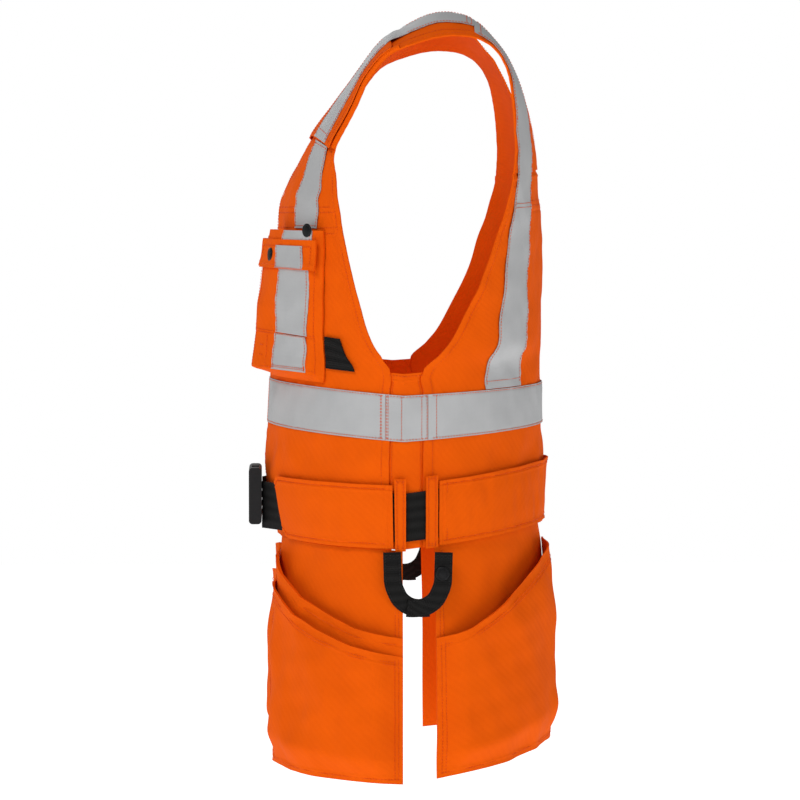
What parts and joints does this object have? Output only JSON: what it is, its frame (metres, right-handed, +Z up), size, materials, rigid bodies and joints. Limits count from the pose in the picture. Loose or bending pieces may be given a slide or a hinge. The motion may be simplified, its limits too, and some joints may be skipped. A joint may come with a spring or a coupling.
{
  "type": "tool_vest",
  "caption": "Orange hi-vis tool vest with reflective tape, chest pockets, buckled waist belt, hanging holster pockets and hammer loops",
  "frame": {"origin": "halfway between the undersides of the two shoulder straps at the top of the shoulders, where the wearer's shoulders carry the vest", "axes": "+Z up; the wearer faces -Y, so the back of the vest is at +Y; the wearer's left is +X"},
  "size_m": [0.423, 0.3365, 0.8232],
  "materials": {
    "orange_cloth": "matt hi-vis orange twill",
    "silver_tape": "grey retroreflective tape, satin",
    "black_webbing": "ribbed black webbing",
    "black_plastic": "moulded black plastic, satin",
    "snap_metal": "black press studs",
    "zip_cloth": "orange zip tape with a moulded coil",
    "zip_metal": "black lacquered slider and pull"
  },
  "bodies": {
    "vest": {"back_panel": "orange_cloth", "belt_tunnel_back": "orange_cloth", "front_panel_left": "orange_cloth", "front_panel_right": "orange_cloth", "side_panel_left": "orange_cloth", "side_panel_right": "orange_cloth", "yoke_left": "orange_cloth", "yoke_right": "orange_cloth", "strap_end_left": "orange_cloth", "strap_end_right": "orange_cloth", "chest_pocket_left": "orange_cloth", "chest_pocket_right": "orange_cloth", "belt_tunnel_front_left": "orange_cloth", "belt_tunnel_front_right": "orange_cloth", "belt_loop_front_left": "orange_cloth", "belt_loop_front_right": "orange_cloth", "belt_loop_rear_left": "orange_cloth", "belt_loop_rear_right": "orange_cloth", "waist_tape_back": "silver_tape", "waist_tape_front_left": "silver_tape", "waist_tape_front_right": "silver_tape", "waist_tape_side_left": "silver_tape", "waist_tape_side_right": "silver_tape", "back_tape_left": "silver_tape", "back_tape_right": "silver_tape", "shoulder_tape_left": "silver_tape", "shoulder_tape_right": "silver_tape", "chest_tape_left": "silver_tape", "chest_tape_right": "silver_tape", "pocket_tape_left": "silver_tape", "pocket_tape_right": "silver_tape", "belt_webbing": "black_webbing", "pocket_tab_left": "black_webbing", "pocket_tab_right": "black_webbing", "buckle_socket": "black_plastic", "pocket_snap_left": "snap_metal", "pocket_snap_right": "snap_metal", "zip_half_left": "zip_cloth", "zip_half_right": "zip_cloth"},
    "slider": {"zip_slider": "zip_metal"},
    "pull": {"zip_pull": "zip_metal"},
    "plug": {"buckle_plug": "black_plastic"},
    "prong_upper": {"buckle_prong_upper": "black_plastic"},
    "prong_lower": {"buckle_prong_lower": "black_plastic"},
    "flap_left": {"chest_flap_left": "orange_cloth", "flap_snap_left": "snap_metal"},
    "front_holster_left": {"holster_front_left": "orange_cloth", "holster_pocket_front_left": "orange_cloth"},
    "back_holster_left": {"holster_back_left": "orange_cloth", "holster_pocket_back_left": "orange_cloth"},
    "tool_loop_left": {"hammer_loop_left": "black_webbing", "loop_snap_left": "snap_metal"},
    "flap_right": {"chest_flap_right": "orange_cloth", "flap_snap_right": "snap_metal"},
    "front_holster_right": {"holster_front_right": "orange_cloth", "holster_pocket_front_right": "orange_cloth"},
    "back_holster_right": {"holster_back_right": "orange_cloth", "holster_pocket_back_right": "orange_cloth"},
    "tool_loop_right": {"hammer_loop_right": "black_webbing", "loop_snap_right": "snap_metal"}
  },
  "joints": [
    {"name": "zip_travel", "type": "slide", "parent": "vest", "child": "slider", "axis": [0, -0.0527, -0.9986], "range_m": [0, 0.183]},
    {"name": "zip_pull_swing", "type": "hinge", "parent": "slider", "child": "pull", "pos_m": [0, -0.18865, -0.2372], "axis": [-1, 0, 0], "range_deg": [0, 110]},
    {"name": "buckle_release", "type": "slide", "parent": "vest", "child": "plug", "axis": [-1, 0, 0], "range_m": [0, 0.045]},
    {"name": "prong_upper_flex", "type": "hinge", "parent": "plug", "child": "prong_upper", "pos_m": [-0.0006, -0.2094, -0.4775], "axis": [0, 1, 0], "range_deg": [0, 6], "stiffness_Nm_per_rad": 0.05},
    {"name": "prong_lower_flex", "type": "hinge", "parent": "plug", "child": "prong_lower", "pos_m": [-0.0006, -0.2094, -0.5185], "axis": [0, -1, 0], "range_deg": [0, 6], "stiffness_Nm_per_rad": 0.05},
    {"name": "flap_swing_left", "type": "hinge", "parent": "vest", "child": "flap_left", "pos_m": [0.16297, -0.15005, -0.216], "axis": [-0.886, -0.4636, 0.0136], "range_deg": [0, 150]},
    {"name": "front_holster_swing_left", "type": "hinge", "parent": "vest", "child": "front_holster_left", "pos_m": [0.21146, -0.0757, -0.5457], "axis": [-0.7364, -0.6762, 0.0202], "range_deg": [0, 60]},
    {"name": "back_holster_swing_left", "type": "hinge", "parent": "vest", "child": "back_holster_left", "pos_m": [0.05929, 0.12288, -0.5262], "axis": [0.7626, -0.6417, -0.0816], "range_deg": [0, 60]},
    {"name": "tool_loop_swing_left", "type": "hinge", "parent": "vest", "child": "tool_loop_left", "pos_m": [0.198, -0.036, -0.5453], "axis": [0, -1, 0], "range_deg": [0, 60]},
    {"name": "flap_swing_right", "type": "hinge", "parent": "vest", "child": "flap_right", "pos_m": [-0.16297, -0.15005, -0.216], "axis": [-0.886, 0.4636, -0.0136], "range_deg": [0, 150]},
    {"name": "front_holster_swing_right", "type": "hinge", "parent": "vest", "child": "front_holster_right", "pos_m": [-0.21146, -0.0757, -0.5457], "axis": [-0.7364, 0.6762, -0.0202], "range_deg": [0, 60]},
    {"name": "back_holster_swing_right", "type": "hinge", "parent": "vest", "child": "back_holster_right", "pos_m": [-0.05929, 0.12288, -0.5262], "axis": [0.7626, 0.6417, 0.0816], "range_deg": [0, 60]},
    {"name": "tool_loop_swing_right", "type": "hinge", "parent": "vest", "child": "tool_loop_right", "pos_m": [-0.198, -0.036, -0.5453], "axis": [0, 1, 0], "range_deg": [0, 60]}
  ],
  "couplings": [
    {"joint": "prong_lower_flex", "follows": "prong_upper_flex", "ratio": 1},
    {"joint": "back_holster_swing_left", "follows": "front_holster_swing_left", "ratio": 1},
    {"joint": "tool_loop_swing_left", "follows": "front_holster_swing_left", "ratio": 1},
    {"joint": "back_holster_swing_right", "follows": "front_holster_swing_right", "ratio": 1},
    {"joint": "tool_loop_swing_right", "follows": "front_holster_swing_right", "ratio": 1}
  ]
}
